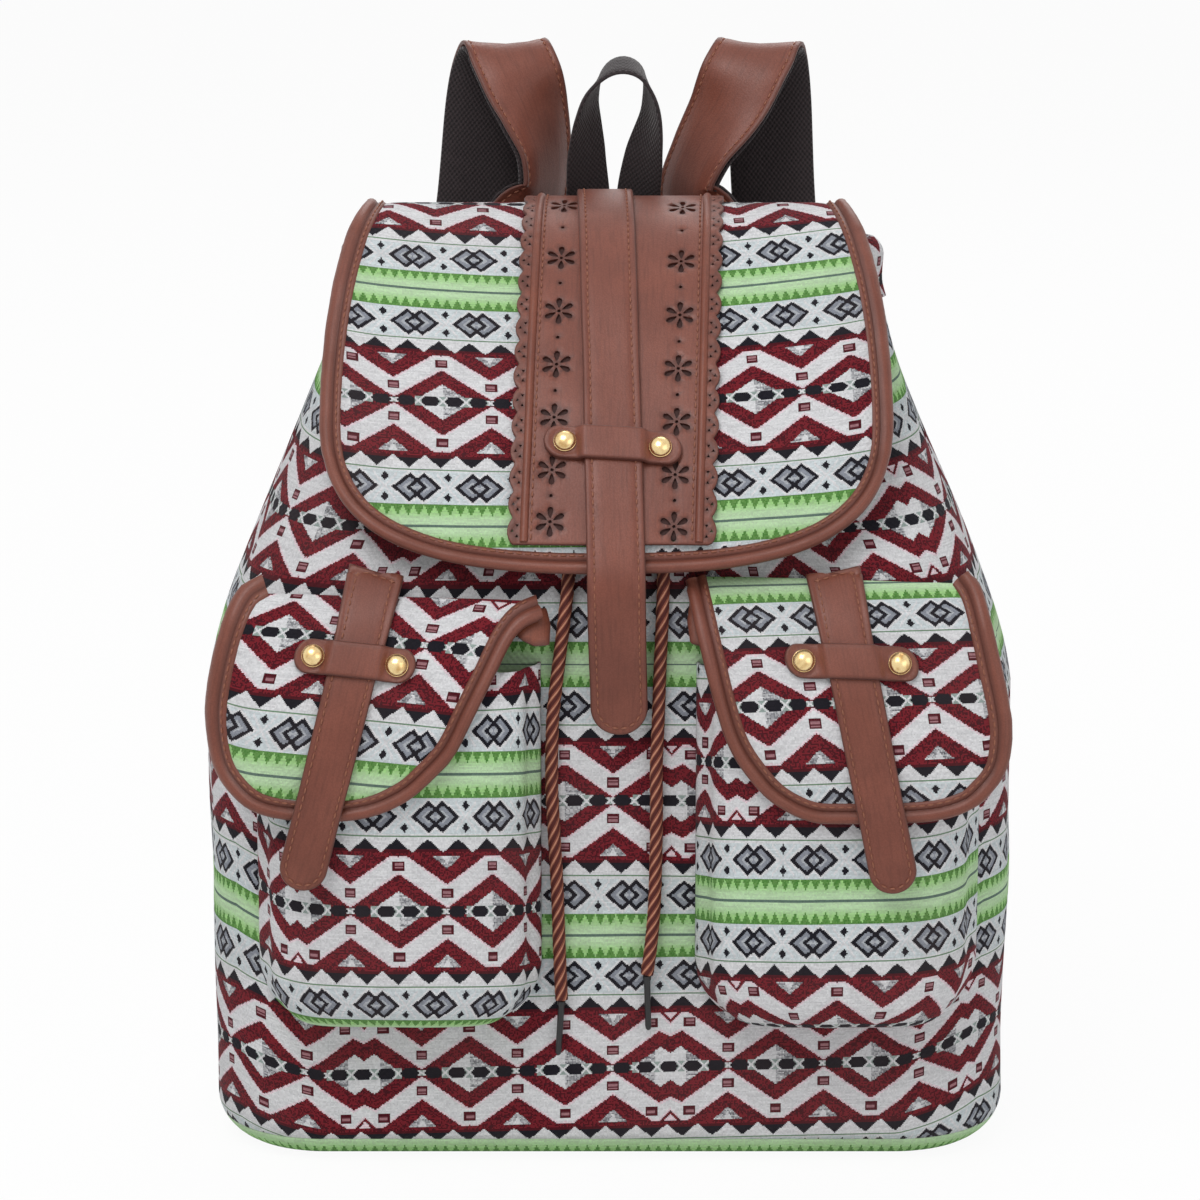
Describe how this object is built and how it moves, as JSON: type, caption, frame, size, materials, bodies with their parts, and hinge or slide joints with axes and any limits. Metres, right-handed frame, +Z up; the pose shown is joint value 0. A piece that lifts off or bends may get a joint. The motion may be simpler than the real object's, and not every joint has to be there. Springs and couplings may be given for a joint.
{
  "type": "canvas drawstring backpack",
  "caption": "Woven canvas backpack with a leather-trimmed flap, front pockets with flaps, a drawcord neck, shoulder straps and a haul loop",
  "frame": {"origin": "centre of the base, on the surface it stands on", "axes": "+Z up, the front with the flap and pockets faces -Y, the straps are at +Y, +X is to the right seen from the front"},
  "size_m": [0.3254, 0.2245, 0.4293],
  "materials": {
    "woven_canvas": "woven cotton, matte",
    "flap_canvas": "woven cotton, matte",
    "brown_leather": "smooth, satin",
    "dark_webbing": "woven cotton tape, matte",
    "twisted_cord": "twisted, matte",
    "black_tip": "smooth",
    "gold_metal": "polished",
    "steel_metal": "satin",
    "black_slider": "moulded"
  },
  "bodies": {
    "bag": {"body_front": "woven_canvas", "body_back": "woven_canvas", "base_panel": "woven_canvas", "neck_casing": "woven_canvas", "neck_cord": "twisted_cord", "flap_cover": "flap_canvas", "flap_binding": "brown_leather", "flap_lace_panel": "brown_leather", "flap_strap": "brown_leather", "flap_keeper": "brown_leather", "flap_rivet_left": "gold_metal", "flap_rivet_right": "gold_metal", "flap_snap_stud": "steel_metal", "flap_snap_socket": "steel_metal", "pocket_left": "woven_canvas", "pocket_flap_left": "flap_canvas", "pocket_flap_binding_left": "brown_leather", "pocket_strap_left": "brown_leather", "pocket_keeper_left": "brown_leather", "pocket_rivet_left_a": "gold_metal", "pocket_rivet_left_b": "gold_metal", "pocket_snap_socket_left": "steel_metal", "pocket_snap_stud_left": "steel_metal", "pocket_right": "woven_canvas", "pocket_flap_right": "flap_canvas", "pocket_flap_binding_right": "brown_leather", "pocket_strap_right": "brown_leather", "pocket_keeper_right": "brown_leather", "pocket_rivet_right_a": "gold_metal", "pocket_rivet_right_b": "gold_metal", "pocket_snap_socket_right": "steel_metal", "pocket_snap_stud_right": "steel_metal", "cord_eyelet_left": "gold_metal", "cord_left": "twisted_cord", "cord_tip_left": "black_tip", "cord_eyelet_right": "gold_metal", "cord_right": "twisted_cord", "cord_tip_right": "black_tip", "haul_loop": "dark_webbing", "strap_yoke": "brown_leather", "lower_webbing_left": "dark_webbing", "shoulder_strap_left": "brown_leather", "strap_webbing_left": "dark_webbing", "anchor_tab_left": "brown_leather", "lower_webbing_right": "dark_webbing", "shoulder_strap_right": "brown_leather", "strap_webbing_right": "dark_webbing", "anchor_tab_right": "brown_leather"},
    "adjuster_left": {"strap_slider_left": "black_slider"},
    "adjuster_right": {"strap_slider_right": "black_slider"}
  },
  "joints": [
    {"name": "left_strap_adjuster", "type": "slide", "parent": "bag", "child": "adjuster_left", "axis": [-0.0521, -0.175, -0.9832], "range_m": [-0.025, 0.025]},
    {"name": "right_strap_adjuster", "type": "slide", "parent": "bag", "child": "adjuster_right", "axis": [0.0521, -0.175, -0.9832], "range_m": [-0.025, 0.025]}
  ]
}
